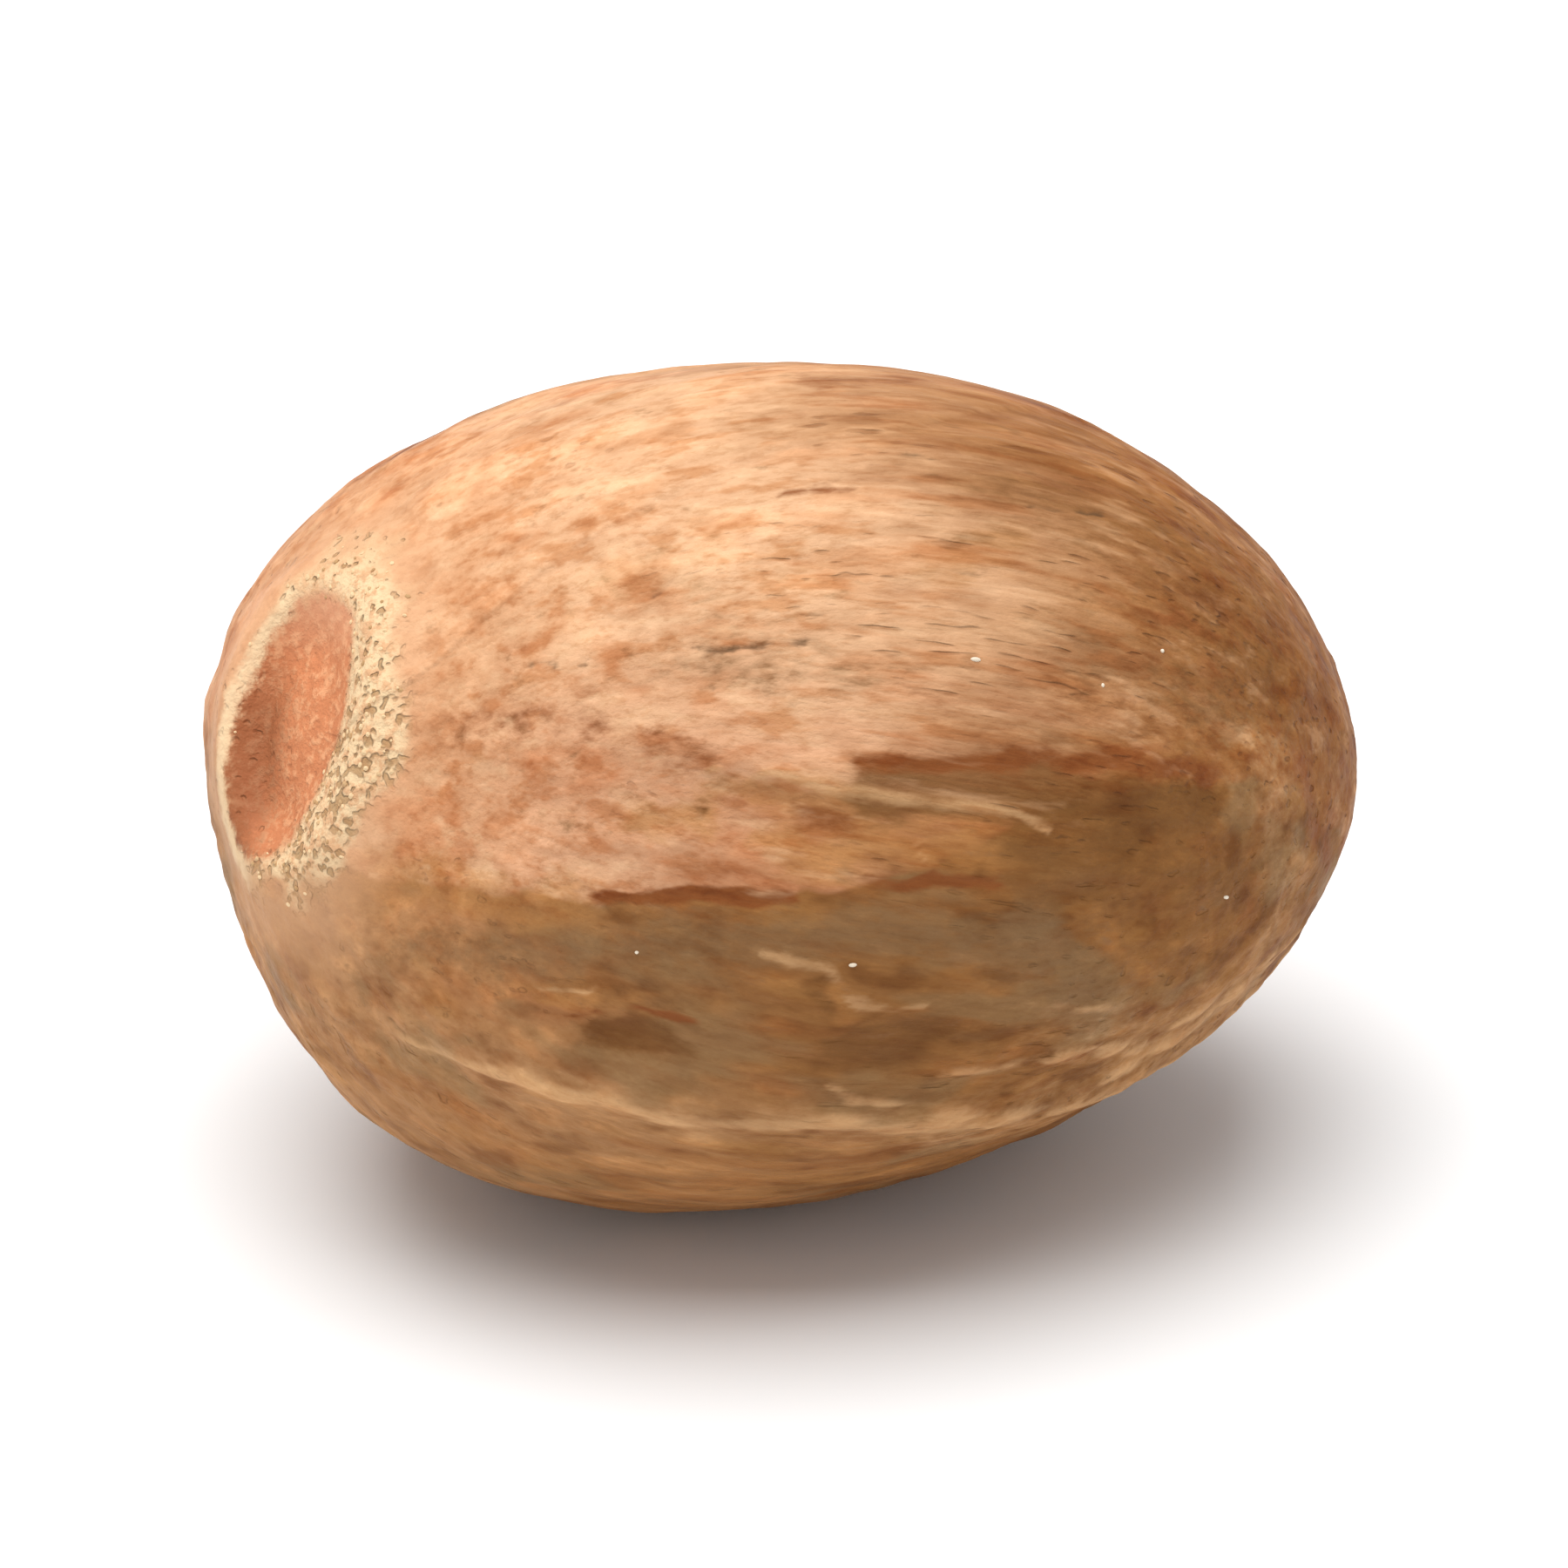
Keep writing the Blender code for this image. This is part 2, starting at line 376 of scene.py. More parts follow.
def laid_place(share, degrees):
    """A place on the kernel in mm, with its fibres laid straight along x."""
    radius = KERNEL_SIZES["half breadth"] / MM * math.sin(math.pi * share)
    angle = math.radians(degrees)
    along = share * KERNEL_SIZES["fibre length"] / MM
    return along, radius * math.cos(angle), radius * math.sin(angle)


def tree_of_sizes(name, sizes):
    """A new tree for a mesh, with a named input for each size. Returns it and its inputs."""
    tree = bpy.data.node_groups.new(name, "GeometryNodeTree")
    tree.interface.new_socket("Geometry", in_out="INPUT", socket_type="NodeSocketGeometry")
    for size in sizes:
        tree.interface.new_socket(size, in_out="INPUT", socket_type="NodeSocketFloat")
    tree.interface.new_socket("Geometry", in_out="OUTPUT", socket_type="NodeSocketGeometry")
    start = tree.nodes.new("NodeGroupInput")
    inputs = {output.name: Term(output) for output in start.outputs if output.name}
    return tree, inputs


def close_tree(tree, geometry, material):
    """Ends the tree in real geometry that carries the material."""
    real = node(tree, "GeometryNodeRealizeInstances", {"Geometry": geometry})
    done = node(tree, "GeometryNodeSetMaterial", {"Geometry": real, "Material": material})
    wire(done, tree.nodes.new("NodeGroupOutput").inputs[0])


def grown_piece(name, tree, sizes, start_mesh):
    """The tree applied to a mesh with these sizes, as a piece whose mesh is plain."""
    piece = bpy.data.objects.new(name, start_mesh)
    bpy.context.scene.collection.objects.link(piece)
    modifier = piece.modifiers.new("growth", "NODES")
    modifier.node_group = tree
    for item in tree.interface.items_tree:
        if item.in_out == "INPUT" and item.name in sizes:
            modifier[item.identifier] = sizes[item.name]
    graph = bpy.context.evaluated_depsgraph_get()
    mesh = bpy.data.meshes.new_from_object(
        piece.evaluated_get(graph), preserve_all_data_layers=True, depsgraph=graph
    )
    piece.modifiers.clear()
    piece.data = mesh
    mesh.name = name
    return piece


def keep(geometry, name, value):
    """Stores a value at each point. Returns the geometry that has it, and the value read back."""
    tree = value.tree
    kind = "FLOAT_VECTOR" if is_vector(value) else "FLOAT"
    inputs = {"Geometry": geometry, "Name": name, "Value": value}
    stored = node(tree, "GeometryNodeStoreNamedAttribute", inputs, data_type=kind, domain="POINT")
    return stored, node(tree, "GeometryNodeInputNamedAttribute", {"Name": name}, data_type=kind)


def first_value(value):
    """The value at the first point, which is the middle of the scar."""
    kind = "FLOAT_VECTOR" if is_vector(value) else "FLOAT"
    inputs = {"Value": value, "Index": 0}
    return node(value.tree, "GeometryNodeFieldAtIndex", inputs, data_type=kind, domain="POINT")


def course(share, places):
    """The angle in degrees of a smooth line through these places, at each share."""
    line = share.tree.nodes.new("ShaderNodeFloatCurve")
    wire(share, line.inputs["Value"])
    curve = line.mapping.curves[0]
    lowest = min(degrees for _, degrees in places) - 10.0
    span = max(degrees for _, degrees in places) + 10.0 - lowest
    for _ in places[2:]:
        curve.points.new(0.5, 0.5)
    for point, (at, degrees) in zip(curve.points, places):
        point.location = (at, (degrees - lowest) / span)
    line.mapping.update()
    return Term(line.outputs[0]) * span + lowest


def line_relief(share, angle, breadth, line):
    """A rounded cord, or a groove where its height is negative, through the line's places."""
    places, height, half_width = line
    turn = number(share.tree, "WRAP", angle - course(share, places), 180.0, -180.0)
    sideways = turn * math.radians(1.0) * breadth
    start, end = places[0][0], places[-1][0]
    fade = rise(share, start, start + VEIN_FADE) * rise(share, end, end - VEIN_FADE)
    return height * fade * bump_over(sideways, half_width)


def stroke_group():
    """A node group: how far a place is from the straight line between two others."""
    group = bpy.data.node_groups.new("stroke", "GeometryNodeTree")
    for name in ("Place", "From", "To"):
        group.interface.new_socket(name, in_out="INPUT", socket_type="NodeSocketVector")
    group.interface.new_socket("Distance", in_out="OUTPUT", socket_type="NodeSocketFloat")
    start = group.nodes.new("NodeGroupInput")
    place, first, last = [Term(start.outputs[name]) for name in ("Place", "From", "To")]
    run = last - first
    passed = node(group, "ShaderNodeClamp", {"Value": dot(place - first, run) / dot(run, run)})
    gap = length(place - first - run * passed)
    wire(gap, group.nodes.new("NodeGroupOutput").inputs[0])
    return group


def mark_group(kind, stroke):
    """A node group: how strongly the marks of a kind show at each place, from 0 to 1."""
    group = bpy.data.node_groups.new(kind + " marks", "GeometryNodeTree")
    group.interface.new_socket("Place", in_out="INPUT", socket_type="NodeSocketVector")
    group.interface.new_socket("Strength", in_out="OUTPUT", socket_type="NodeSocketFloat")
    place = Term(group.nodes.new("NodeGroupInput").outputs[0])
    total = 0.0
    for places, half_width, strength in MARKS[kind] + random_marks(kind):
        nearest = None
        for first, last in zip(places, places[1:]):
            ends = {"Place": place, "From": laid_place(*first), "To": laid_place(*last)}
            gap = node(group, "GeometryNodeGroup", ends, node_tree=stroke)
            nearest = gap if nearest is None else number(group, "MINIMUM", gap, nearest)
        total = rise(nearest, MARK_SPREAD * half_width, 0.0, strength) + total
    wire(number(group, "MINIMUM", total, 1.0), group.nodes.new("NodeGroupOutput").inputs[0])
    return group


def random_marks(kind):
    """Marks of this kind strewn over the back and the underside."""
    count, run, half_width = RANDOM_MARKS[kind]
    chance = random.Random("nutmeg " + kind)
    marks = []
    for _ in range(count):
        share = chance.uniform(0.22, 0.85)
        degrees = chance.uniform(142.0, 288.0)
        reach = chance.uniform(0.5, 1.2) * run / (KERNEL_SIZES["fibre length"] / MM)
        drift = chance.uniform(-6.0, 6.0)
        places = ((share, degrees), (share + reach / 2, degrees + drift), (share + reach, degrees))
        marks.append((places, half_width * chance.uniform(0.6, 1.3), chance.uniform(0.35, 0.8)))
    return marks


def scar_form(points, middle, normal, sizes):
    """Height along the scar's normal, then where each point lies on the scar."""
    long_axis = Vector(SCAR_LONG_AXIS)
    long_axis = unit(tuple(long_axis) - normal * dot(normal, tuple(long_axis)))
    short_axis = cross(long_axis, normal)
    offset = points - middle
    away = dot(offset, short_axis) / sizes["rim half short"]
    down = dot(offset, long_axis) / sizes["rim half long"]
    reach = hypot(down, away)
    outer_side = rise(away, -0.5, 0.5)
    floor = outer_side * (DISH_FLOOR_OUTER - DISH_FLOOR_INNER) + DISH_FLOOR_INNER
    dish = rise((DISH_EDGE - reach) / (DISH_EDGE - floor), 0.0, 1.0)
    same_end = number(points.tree, "GREATER_THAN", dot(offset, normal), -1.0 * sizes["rim half long"])
    rim = bump_over(reach - 1.0, RIM_SPREAD)
    height = same_end * (sizes["rim height"] * rim - sizes["dish depth"] * dish)
    side = (away - down * BARE_SLANT - BARE_SHIFT) / BARE_HALF_SHORT
    far = (1.0 - same_end) * FAR_AWAY
    return height, reach + far, hypot(down / BARE_HALF_LONG, side) + far, away, down, dish


def kernel_tree(material):
    """Bends a grid of fibres into the kernel, raises its relief and rests it on its flat."""
    tree, sizes = tree_of_sizes("kernel", KERNEL_SIZES)
    grid = {"Segments": MERIDIANS, "Rings": RINGS, "Radius": 1.0}
    geometry = node(tree, "GeometryNodeMeshUVSphere", grid, "Mesh")
    x, y, z = parts(node(tree, "GeometryNodeInputPosition", {}))
    polar = number(tree, "ARCCOSINE", number(tree, "MAXIMUM", number(tree, "MINIMUM", z, 1.0), -1.0))
    geometry, share = keep(geometry, "along", number(tree, "POWER", polar / math.pi, RING_CROWDING))
    geometry, turn = keep(geometry, "turn", number(tree, "ARCTAN2", y, x))
    angle = turn * math.degrees(1.0)
    sine = number(tree, "SINE", share * math.pi)
    round_cos, round_sin = number(tree, "COSINE", turn), number(tree, "SINE", turn)

    # Straight fibres would join opposite ends; the shift brings both ends round to the front.
    scar, tip = Vector(SCAR_DIRECTION).normalized(), Vector(TIP_DIRECTION).normalized()
    along = (tip - scar).normalized()
    front = along.cross(Vector((0.0, 0.0, 1.0))).normalized()
    above = front.cross(along)
    bend_side = (scar + tip).normalized()
    shift = bend_side * math.tan(math.asin(scar.dot(bend_side)) / 2.0)
    sideways = round_cos * tuple(front) + round_sin * tuple(above)
    straight = sideways * sine - number(tree, "COSINE", share * math.pi) * tuple(along)
    moved = straight + tuple(shift)
    scale = (1.0 - shift.length_squared) / dot(moved, moved)
    geometry, direction = keep(geometry, "direction", unit(moved * scale + tuple(shift)))

    half_sizes = joined(tree, sizes["half length"], sizes["half breadth"], sizes["half breadth"])
    geometry, normal = keep(geometry, "outward", unit(direction / half_sizes))
    swelling = 0.0
    for place, peak, spread in SWELLINGS:
        cosine = dot(direction, tuple(Vector(place).normalized()))
        bell = number(tree, "EXPONENT", (cosine - 1.0) / math.radians(spread) ** 2)
        swelling = bell * peak + swelling
    smooth = direction * half_sizes + normal * swelling

    breadth = sizes["half breadth"] * sine
    ring = breadth * (1.0 / MM)
    laid = joined(tree, share * sizes["fibre length"] * (1.0 / MM), ring * round_cos, ring * round_sin)
    geometry, laid = keep(geometry, "laid", laid)
    fade = rise(share, 0.0, FOLD_FADE) * rise(share, 1.0, 1.0 - FOLD_FADE)
    wander = 0.9 * number(tree, "SINE", turn * 2.0 + 1.3)
    wander = wander + 0.5 * number(tree, "SINE", turn * 3.0 + share * 5.0)
    relief = sizes["fold height"] * fade * number(tree, "COSINE", turn * FOLDS_ROUND + wander)
    for line in VEINS:
        relief = relief + line_relief(share, angle, breadth, line)
    for (dent_share, dent_degrees), height, radius in DENTS:
        wrapped = number(tree, "WRAP", angle - dent_degrees, 180.0, -180.0)
        off_side = wrapped * math.radians(1.0) * breadth
        off_along = (share - dent_share) * sizes["fibre length"]
        relief = relief + height * bump_over(hypot(off_side, off_along), radius)
    geometry, surface = keep(geometry, "surface", smooth + normal * relief)

    # Marks keep ragged edges because their places are shaken a little.
    shake = noise(laid, 1.1, stretch=1.6, detail=2.0, start=(5.0, 5.0, 2.0), output=1)
    shake = vector(tree, "SUBTRACT", shake, (0.5, 0.5, 0.5)) * (2.4, 0.9, 0.9)
    geometry, shaken = keep(geometry, "shaken", laid + shake)
    stroke = stroke_group()
    fine = 0.0
    for kind in MARKS:
        group = mark_group(kind, stroke)
        field = node(tree, "GeometryNodeGroup", {"Place": shaken}, node_tree=group)
        geometry, field = keep(geometry, kind, field)
        fine = field * MARK_HEIGHTS[kind] + fine

    # The browner lower side: how many mm each point lies below the border, frayed by the shake.
    border = course(share, BORDER)
    below = number(tree, "WRAP", border - angle, 270.0, -90.0)
    mm_per_degree = ring * math.radians(1.0)
    frayed = dot(shake, (0.0, 1.2, 1.2))
    depth = below * mm_per_degree + frayed
    inside = (border + (360.0 - BACK_BORDER) - below) * mm_per_degree + frayed * 2.5
    geometry, under = keep(geometry, "under", rise(depth, -0.35, 0.55) * rise(inside, -2.0, 3.5))
    fine = fine + STEP_HEIGHT * (1.0 - under) * rise(depth, -3.0, 0.0)

    # Wrinkles and streaks along the fibres, which die out towards both ends.
    body = rise(share, 0.07, 0.20) * rise(share, 1.0, 0.88)
    wrinkles = noise(laid, 1.5, stretch=5.0, detail=2.0, start=(3.0, 8.0, 1.0)) - 0.5
    ripples = noise(laid, 0.9, stretch=2.0, detail=2.0, start=(9.0, 2.0, 5.0)) - 0.5
    streaks = noise(laid, 0.35, stretch=7.0, detail=1.0, start=(1.0, 4.0, 7.0)) - 0.5
    fine = fine + sizes["wrinkle height"] * (wrinkles * (1.0 - under * 0.4) + ripples * (under * 0.5 + 0.4)) * 2.0 * body
    fine = fine + sizes["streak height"] * streaks * 2.0 * body

    # The scar, and the meal and grain on and in it.
    middle = first_value(surface)
    scar_normal = first_value(normal)
    height, reach, basin, away, down, dish = scar_form(surface, middle, scar_normal, sizes)
    spot = surface * (1.0 / MM)
    ragged = noise(spot, 1.2, detail=3.0, start=(2.0, 6.0, 3.0)) - 0.5
    geometry, basin = keep(geometry, "basin", basin + ragged * 0.25)
    outer = reach + ragged * 0.9 + rise(down, 0.2, 1.0) * 0.16 + rise(away, 0.2, 0.9) * 0.40
    outer = rise(outer, MEAL_END, MEAL_FULL)
    geometry, mealy = keep(geometry, "mealy", outer * rise(basin, 0.85, 1.05))
    geometry, dish = keep(geometry, "dish", dish)
    geometry, away = keep(geometry, "away", away)
    geometry, down = keep(geometry, "down", down)
    geometry, reach = keep(geometry, "reach", number(tree, "MINIMUM", reach, 3.0))
    meal = noise(spot, 0.26, detail=2.0, roughness=0.7) - 0.5
    dish_grain = noise(spot, 0.36, detail=2.0, start=(4.0, 1.0, 9.0)) - 0.5
    fine = fine + sizes["meal height"] * (meal * mealy * 2.6 + dish_grain * dish * 1.6)
    geometry, fine_mm = keep(geometry, "relief", fine * (1.0 / MM))
    surface = surface + normal * (fine_mm * MM) + scar_normal * height
    shaped = node(tree, "GeometryNodeSetPosition", {"Geometry": geometry, "Position": surface})

    # The flat it rests on: the lowest part is pressed level, and the box put over the origin.
    px, py, pz = parts(node(tree, "GeometryNodeInputPosition", {}))
    bounds = tree.nodes.new("GeometryNodeBoundBox")
    wire(shaped, bounds.inputs[0])
    low, high = Term(bounds.outputs["Min"]), Term(bounds.outputs["Max"])
    low_z = parts(low)[2] + sizes["rest cut"]
    mid_x, mid_y, _ = parts((low + high) * 0.5)
    rested = joined(tree, px - mid_x, py - mid_y, number(tree, "MAXIMUM", pz, low_z) - low_z)
    placed = node(tree, "GeometryNodeSetPosition", {"Geometry": shaped, "Position": rested})
    for scaffold in ("turn", "direction", "surface", "shaken"):
        placed = node(tree, "GeometryNodeRemoveAttribute", {"Geometry": placed, "Name": scaffold})
    close_tree(tree, node(tree, "GeometryNodeSetShadeSmooth", {"Geometry": placed}), material)
    return tree


def attribute(tree, name, output="Fac"):
    return node(tree, "ShaderNodeAttribute", {}, output, attribute_name=name)


def tinted(base, colour, share, way="MIX"):
    """The base with this share of the colour laid over it, or soaked in the way of a dye."""
    inputs = {0: share, 6: base, 7: colour}
    settings = {"data_type": "RGBA", "clamp_factor": True, "blend_type": way}
    return node(share.tree, "ShaderNodeMix", inputs, 2, **settings)


def dyed(base, colour, share):
    return tinted(base, colour, share, "MULTIPLY")


def rgb(red, green, blue):
    return (red, green, blue, 1.0)


def skin_material():
    """Dull dried skin: tan flesh tones under streaks, stains, cracks and pores, with painted shade in the creases
    and the scar's dish, and painted bounce light on the underside.
    """
    material = bpy.data.materials.new("dried_nutmeg_skin")
    material.use_nodes = True
    tree = material.node_tree
    shader = tree.nodes["Principled BSDF"]
    laid = attribute(tree, "laid", "Vector")
    along = attribute(tree, "along")
    mealy, dish, reach = [attribute(tree, name) for name in ("mealy", "dish", "reach")]
    away, down = attribute(tree, "away"), attribute(tree, "down")
    relief = attribute(tree, "relief")
    _, level, upright = parts(laid)
    topness = upright / (hypot(level, upright) + 0.001)

    # Broad clouds: peach on top near the scar, browner lower down and towards the tip.
    clouds = noise(laid, 5.0, stretch=2.0, detail=2.0, start=(7.0, 1.0, 3.0))
    blotches = noise(laid, 1.0, stretch=5.5, detail=2.0, roughness=0.5, start=(2.0, 9.0, 4.0))
    uneven = (clouds - 0.5) * 0.35 + (blotches - 0.5) * 0.45
    peach = rise(topness + uneven, 0.90, 0.35)
    colour = tinted(rgb(0.68, 0.395, 0.22), rgb(0.62, 0.325, 0.18), peach)
    backward = rise(level / (hypot(level, upright) + 0.001), 0.35, -0.25)
    frontward = rise(topness, 0.85, 0.30)
    tipward = rise(along + uneven * 0.7 + backward * 0.13 + frontward * 0.13, 0.38, 0.70)
    colour = tinted(colour, rgb(0.33, 0.135, 0.040), tipward)
    colour = tinted(colour, rgb(0.61, 0.30, 0.145), rise(reach + uneven, 2.8, 1.5) * 0.7)
    under = rise(attribute(tree, "under") + (blotches - 0.5) * 0.5, 0.25, 0.75)
    under_tone_and_bounce = tinted(rgb(0.46, 0.215, 0.085), rgb(0.262, 0.112, 0.031), rise(along + uneven * 0.4 + topness * 0.13, 0.17, 0.33))
    # Painted bounce light: the underside is made lighter towards the bottom, fading out near the tip, as if lit
    # from the white floor below.
    under_tone_and_bounce = tinted(under_tone_and_bounce, rgb(0.41, 0.21, 0.088), rise(topness + uneven, -0.30, -0.70) * rise(along, 0.75, 0.40) * 0.85)
    colour = tinted(colour, under_tone_and_bounce, under * 0.94)
    light = (1.0 - under) * (1.0 - tipward * 0.6)

    # Middling patches: paler and darker on the upper side, ochre, olive and umber on the lower.
    patches = noise(laid, 0.90, stretch=1.7, detail=2.5, roughness=0.5, start=(6.0, 2.0, 7.0))
    tints = noise(laid, 1.8, stretch=2.4, detail=2.0, start=(1.0, 5.0, 2.0))
    colour = tinted(colour, rgb(0.73, 0.44, 0.25), rise(blotches, 0.54, 0.70) * light * 0.45)
    colour = dyed(colour, rgb(0.86, 0.72, 0.60), rise(blotches, 0.49, 0.32) * 0.75)
    colour = dyed(colour, rgb(1.32, 1.32, 1.30), rise(patches, 0.52, 0.68) * (1.0 - light) * 0.85)
    colour = dyed(colour, rgb(0.66, 0.58, 0.50), rise(patches, 0.48, 0.32) * (0.85 - light * 0.55))
    colour = tinted(colour, rgb(0.27, 0.155, 0.065), rise(tints, 0.54, 0.66) * under * 0.6)
    colour = tinted(colour, rgb(0.42, 0.19, 0.05), rise(tints, 0.46, 0.34) * (1.0 - light) * 0.30)
    colour = dyed(colour, rgb(0.94, 0.76, 0.63), rise(tints, 0.48, 0.34) * frontward * light * 0.6)

    # Stains and worn crests.
    grit = noise(laid, 0.28, stretch=2.5, detail=3.0, roughness=0.6, start=(2.0, 2.0, 9.0))
    stains = {
        "grey": (rgb(0.225, 0.125, 0.055), 0.75),
        "ochre": (rgb(0.42, 0.185, 0.055), 0.65),
        "brown": (rgb(0.19, 0.080, 0.021), 0.78),
        "russet": (rgb(0.25, 0.078, 0.020), 1.0),
        "pale": (rgb(0.53, 0.305, 0.145), 0.68),
        "crack": (rgb(0.15, 0.085, 0.038), 0.85),
    }
    for kind, (stain, most) in stains.items():
        frayed = attribute(tree, kind) + (grit - 0.5) * 0.9 + (patches - 0.5) * 0.9
        colour = tinted(colour, stain, rise(frayed, 0.12, 0.92) * most)

    # Streaks along the fibres, and the finest mottling.
    streaks = noise(laid, 0.70, stretch=6.0, detail=3.0, roughness=0.6, start=(4.0, 3.0, 8.0))
    threads = noise(laid, 0.22, stretch=6.0, detail=3.0, roughness=0.6, start=(8.0, 6.0, 1.0))
    mottle = noise(laid, 0.28, stretch=1.6, detail=3.0, roughness=0.7, start=(2.0, 2.0, 9.0))
    colour = dyed(colour, rgb(0.78, 0.60, 0.44), rise(streaks, 0.50, 0.66) * (0.8 - under * 0.4))
    colour = tinted(colour, rgb(0.74, 0.47, 0.27), rise(streaks, 0.46, 0.30) * light * 0.40)
    colour = dyed(colour, rgb(1.30, 1.32, 1.35), rise(streaks, 0.45, 0.30) * (1.0 - light) * (0.7 - under * 0.4))
    colour = dyed(colour, rgb(0.80, 0.70, 0.60), rise(threads, 0.50, 0.66) * (0.6 - under * 0.25))
    colour = dyed(colour, rgb(1.14, 1.16, 1.20), rise(threads, 0.46, 0.32) * 0.5)
    colour = dyed(colour, rgb(0.86, 0.78, 0.70), rise(mottle, 0.50, 0.66) * 0.4)
    colour = dyed(colour, rgb(1.14, 1.16, 1.18), rise(mottle, 0.44, 0.32) * 0.5)

    # Short cracks and pores that are too fine to place one by one.
    flecks = noise(laid, 0.26, stretch=5.0, detail=1.0, start=(1.0, 7.0, 5.0))
    cracks = rise(flecks, 0.62, 0.76) * rise(clouds + (along - 0.5) * 0.2, 0.40, 0.58)
    colour = dyed(colour, rgb(0.58, 0.46, 0.36), cracks * (0.62 - under * 0.5))

    # The scar: a salmon dish inside a mealy cream rim, with painted shade on the steep inner face below the rim
    # on its far side.
    spot = node(tree, "ShaderNodeTexCoord", {}, "Object") * (1.0 / MM)
    grain = noise(spot, 0.30, detail=3.0, roughness=0.7, start=(3.0, 3.0, 6.0))
    dish_tone = tinted(rgb(0.56, 0.205, 0.09), rgb(0.70, 0.33, 0.165), rise(grain, 0.44, 0.66))
    dish_tone = tinted(dish_tone, rgb(0.66, 0.33, 0.19), rise(down, -0.35, -0.85) * 0.7)
    # Painted shade: the dish is darkened on its far side, below the rim, where its steep inner face lies in
    # shade.
    painted_wall_shade = rise(away + (grain - 0.5) * 0.5, 0.18, 0.55) * rise(down, -0.60, 0.0) * 0.65
    dish_tone = tinted(dish_tone, rgb(0.22, 0.065, 0.022), painted_wall_shade)
    in_dish = rise(attribute(tree, "basin") + (grain - 0.5) * 0.35, 1.08, 0.88)
    colour = tinted(colour, rgb(0.68, 0.38, 0.21), rise(reach, 1.7, 1.1) * 0.6)
    meal_tone = tinted(rgb(0.84, 0.62, 0.37), rgb(0.70, 0.41, 0.22), rise(grain, 0.42, 0.62))
    pits = noise(spot, 0.24, detail=1.0, roughness=0.5, start=(5.0, 8.0, 8.0))
    worn = rise(down - away * 0.5, -0.30, 0.55) * 0.11
    pitted = rise(pits + worn, 0.62, 0.74)
    meal_tone = tinted(meal_tone, rgb(0.67, 0.40, 0.215), rise(reach + away * 0.3, 0.85, 1.15) * 0.65)
    meal_tone = tinted(meal_tone, rgb(0.38, 0.215, 0.09), pitted * 0.75)
    colour = tinted(colour, meal_tone, rise(mealy + (grain - 0.5) * 0.9, 0.20, 0.90) * 0.9)
    colour = tinted(colour, dish_tone, in_dish)
    basin = attribute(tree, "basin") + (grain - 0.5) * 0.2
    lip = rise(basin, 0.93, 1.03) * rise(basin, 1.22, 1.08) * rise(away, 0.25, 0.55)
    colour = tinted(colour, rgb(0.84, 0.62, 0.38), lip * 0.8)

    # Crests are worn paler, and the creases get painted shade, darker and browner with their depth.
    colour = dyed(colour, rgb(1.26, 1.28, 1.30), rise(relief, 0.01, 0.11) * (1.0 - mealy))
    # Painted shade: darker in the creases, by how deep they lie.
    colour = dyed(colour, rgb(0.56, 0.41, 0.30), rise(relief, 0.0, -0.13) * (1.0 - mealy) * (0.85 - under * 0.45))
    wire(colour, shader.inputs["Base Color"])

    rough = noise(laid, 0.8, stretch=3.0, detail=2.0, start=(8.0, 1.0, 1.0))
    wire(rise(rough, 0.2, 0.8) * 0.18 + 0.52 + mealy * 0.2, shader.inputs["Roughness"])
    shader.inputs["Specular IOR Level"].default_value = 0.12

    height = (threads - 0.5) * 0.5 + (streaks - 0.5) * 0.8 + (mottle - 0.5) * 0.5
    height = height + (grain - 0.5) * (mealy + dish) * 1.4 - cracks * 0.8 - pitted * mealy * 1.2
    bump = tree.nodes.new("ShaderNodeBump")
    bump.inputs["Strength"].default_value = 0.85
    bump.inputs["Distance"].default_value = 0.08 * MM
    wire(height, bump.inputs["Height"])
    wire(Term(bump.outputs[0]), shader.inputs["Normal"])
    return material


skin = skin_material()
blank = bpy.data.meshes.new("blank")
kernel = grown_piece("kernel", kernel_tree(skin), KERNEL_SIZES, blank)
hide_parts("nutmeg")
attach(kernel, "root")

# ---------------------------------------------------------------------------------------------
# Bran: loose crumbs of dried flesh that cling to the mealy rim of the scar, half sunk in it.
# They thin out towards the skin and into the dish.
# ---------------------------------------------------------------------------------------------

BRAN_SIZES = {
    "crumbs per square metre": 9.0e6,
    "smallest radius": 0.030 * MM,
    "largest radius": 0.070 * MM,
}


def grains_on(points, turned, radius, faces_level, uneven, seed):
    """A lumpy grain at each point, flattened along its own upright axis."""
    tree = points.tree
    ball = {"Radius": 1.0, "Subdivisions": faces_level}
    grain = node(tree, "GeometryNodeMeshIcoSphere", ball, "Mesh")
    stretch = {"Min": (1.0 - uneven,) * 3, "Max": (1.0 + uneven,) * 3, "Seed": seed}
    stretch = node(tree, "FunctionNodeRandomValue", stretch, data_type="FLOAT_VECTOR")
    scale = stretch * (1.0, 1.0, 0.75) * radius
    inputs = {"Points": points, "Instance": grain, "Rotation": turned, "Scale": scale}
    grains = node(tree, "GeometryNodeInstanceOnPoints", inputs)
    tone = node(tree, "FunctionNodeRandomValue", {"Seed": seed + 1}, 1, data_type="FLOAT")
    inputs = {"Geometry": grains, "Name": "tone", "Value": tone}
    return node(tree, "GeometryNodeStoreNamedAttribute", inputs, data_type="FLOAT", domain="INSTANCE")


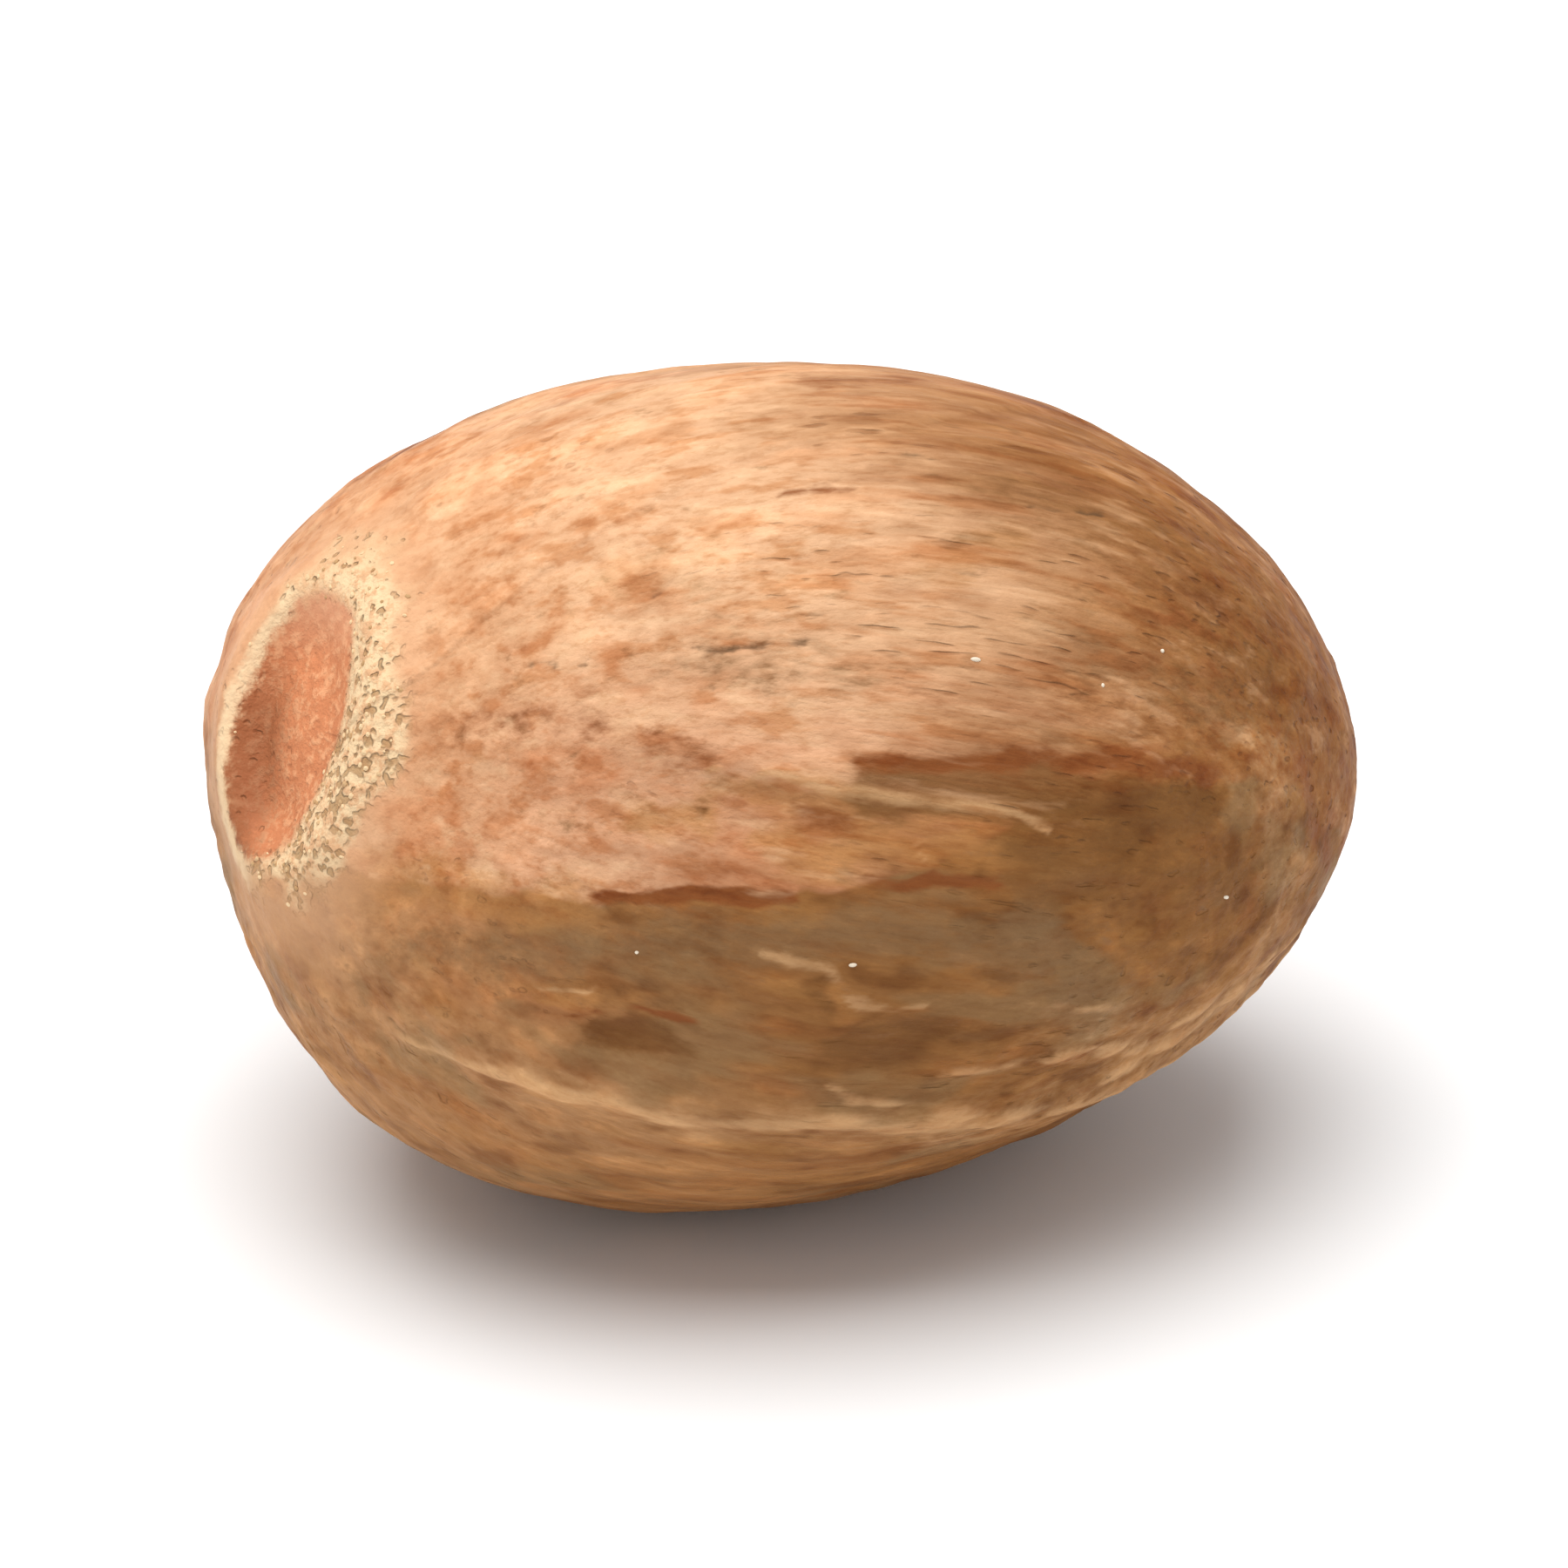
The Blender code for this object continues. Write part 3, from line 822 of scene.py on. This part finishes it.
def bran_tree(material):
    tree, sizes = tree_of_sizes("bran", BRAN_SIZES)
    mealy = node(tree, "GeometryNodeInputNamedAttribute", {"Name": "mealy"}, data_type="FLOAT")
    strewn = tree.nodes.new("GeometryNodeDistributePointsOnFaces")
    wire(sizes["Geometry"], strewn.inputs["Mesh"])
    wire(sizes["crumbs per square metre"] * mealy * mealy, strewn.inputs["Density"])
    strewn.inputs["Seed"].default_value = 5
    points, turned = Term(strewn.outputs["Points"]), Term(strewn.outputs["Rotation"])
    between = {"Min": sizes["smallest radius"], "Max": sizes["largest radius"], "Seed": 3}
    inputs = {2: between["Min"], 3: between["Max"], "Seed": between["Seed"]}
    radius = node(tree, "FunctionNodeRandomValue", inputs, 1, data_type="FLOAT")
    close_tree(tree, grains_on(points, turned, radius, 1, 0.35, 11), material)
    return tree


def grain_material(name, darker, paler):
    """Dry crumbly stuff whose grains each have their own tone."""
    material = bpy.data.materials.new(name)
    material.use_nodes = True
    tree = material.node_tree
    shader = tree.nodes["Principled BSDF"]
    tone = attribute(tree, "tone")
    wire(tinted(darker, paler, rise(tone, 0.1, 0.7)), shader.inputs["Base Color"])
    shader.inputs["Roughness"].default_value = 0.8
    shader.inputs["Specular IOR Level"].default_value = 0.2
    return material


bran_finish = grain_material("bran_crumbs", rgb(0.50, 0.30, 0.14), rgb(0.80, 0.58, 0.34))
bran = grown_piece("bran", bran_tree(bran_finish), BRAN_SIZES, kernel.data)
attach(bran, "root")

# ---------------------------------------------------------------------------------------------
# Starch flecks: a few white specks of dried starch caught on the skin.
# ---------------------------------------------------------------------------------------------

# Place of each fleck, and its radius in mm.
FLECKS = (
    ((0.492, 53.6), 0.12),
    ((0.630, 63.7), 0.07),
    ((0.588, 54.2), 0.07),
    ((0.770, 18.4), 0.08),
    ((0.480, -0.7), 0.085),
    ((0.340, -8.4), 0.07),
    ((0.420, 150.0), 0.10),
    ((0.660, -170.0), 0.09),
    ((0.300, -140.0), 0.08),
    ((0.730, 120.0), 0.08),
)

fleck_mesh = bpy.data.meshes.new("fleck_places")
laid_values = np.empty(len(kernel.data.vertices) * 3)
kernel.data.attributes["laid"].data.foreach_get("vector", laid_values)
laid_values = laid_values.reshape(-1, 3)
nearest = [int(np.argmin(((laid_values - laid_place(*place)) ** 2).sum(1))) for place, _ in FLECKS]
fleck_mesh.from_pydata([kernel.data.vertices[index].co for index in nearest], [], [])
fleck_mesh.attributes.new("outward", "FLOAT_VECTOR", "POINT")
fleck_mesh.attributes.new("fleck radius", "FLOAT", "POINT")
normals = [tuple(kernel.data.vertices[index].normal) for index in nearest]
fleck_mesh.attributes["outward"].data.foreach_set("vector", np.ravel(normals))
fleck_mesh.attributes["fleck radius"].data.foreach_set("value", [size * MM for _, size in FLECKS])


def fleck_tree(material):
    tree, sizes = tree_of_sizes("flecks", {"fatness": 1.0})
    kinds = (("outward", "FLOAT_VECTOR"), ("fleck radius", "FLOAT"))
    out, radius = [
        node(tree, "GeometryNodeInputNamedAttribute", {"Name": name}, data_type=kind)
        for name, kind in kinds
    ]
    turned = node(tree, "FunctionNodeAlignRotationToVector", {"Vector": out}, axis="Z")
    grains = grains_on(sizes["Geometry"], turned, radius * sizes["fatness"], 2, 0.45, 21)
    close_tree(tree, grains, material)
    return tree


starch = grain_material("starch", rgb(0.72, 0.60, 0.46), rgb(0.85, 0.76, 0.62))
flecks = grown_piece("flecks", fleck_tree(starch), {"fatness": 0.8}, fleck_mesh)
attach(flecks, "root")

# ---------------------------------------------------------------------------------------------
# Floor: a plain white sheet that the nutmeg lies on. It isn't part of the object.
# ---------------------------------------------------------------------------------------------

FLOOR_HALF = 1.5

floor_mesh = bpy.data.meshes.new("floor")
corners = [(x * FLOOR_HALF, y * FLOOR_HALF, 0.0) for x, y in ((-1, -1), (1, -1), (1, 1), (-1, 1))]
floor_mesh.from_pydata(corners, [], [(0, 1, 2, 3)])
paper = bpy.data.materials.new("white_floor")
paper.use_nodes = True
paper_shader = paper.node_tree.nodes["Principled BSDF"]
paper_shader.inputs["Base Color"].default_value = rgb(0.90, 0.90, 0.90)
paper_shader.inputs["Roughness"].default_value = 0.9
floor_mesh.materials.append(paper)
floor = bpy.data.objects.new("floor", floor_mesh)
bpy.context.scene.collection.objects.link(floor)

# ---------------------------------------------------------------------------------------------
# Light: one broad soft lamp above, to the left and a little in front, in a bright white room.
# ---------------------------------------------------------------------------------------------


def soft_lamp(name, place, aim, size, watts):
    light = bpy.data.lights.new(name, "AREA")
    light.size = size
    light.energy = watts
    lamp = bpy.data.objects.new(name, light)
    lamp.location = place
    lamp.rotation_euler = (Vector(place) - aim).to_track_quat("Z", "Y").to_euler()
    bpy.context.scene.collection.objects.link(lamp)


box_low, box_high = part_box("nutmeg")
middle = (box_low + box_high) / 2.0
soft_lamp("key", (-0.09, 0.02, 0.68), middle, 0.66, 5.95)

room = bpy.data.worlds.new("room")
room.use_nodes = True
room.node_tree.nodes["Background"].inputs["Color"].default_value = rgb(1.0, 1.0, 1.0)
room.node_tree.nodes["Background"].inputs["Strength"].default_value = 0.50
bpy.context.scene.world = room

# ---------------------------------------------------------------------------------------------
# Camera: in front, a little to the left, looking 30 degrees down through a long lens.
# ---------------------------------------------------------------------------------------------

CAMERA_TURN = math.radians(-9.0)
CAMERA_RISE = math.radians(30.0)
CAMERA_DISTANCE = 0.30
FRAME_WIDTH = 0.0355  # how much the frame takes in at the middle of the kernel
SENSOR_MM = 36.0

towards = Vector(
    (
        math.sin(CAMERA_TURN) * math.cos(CAMERA_RISE),
        -math.cos(CAMERA_TURN) * math.cos(CAMERA_RISE),
        math.sin(CAMERA_RISE),
    )
)
camera = bpy.data.objects.new("camera", bpy.data.cameras.new("camera"))
camera.data.sensor_width = SENSOR_MM
camera.data.lens = SENSOR_MM * CAMERA_DISTANCE / FRAME_WIDTH
camera.data.clip_start = 0.01
camera.data.clip_end = 10.0
camera.location = middle + towards * CAMERA_DISTANCE
camera.rotation_euler = towards.to_track_quat("Z", "Y").to_euler()
bpy.context.scene.collection.objects.link(camera)
bpy.context.scene.camera = camera
bpy.context.scene.view_settings.view_transform = "Standard"
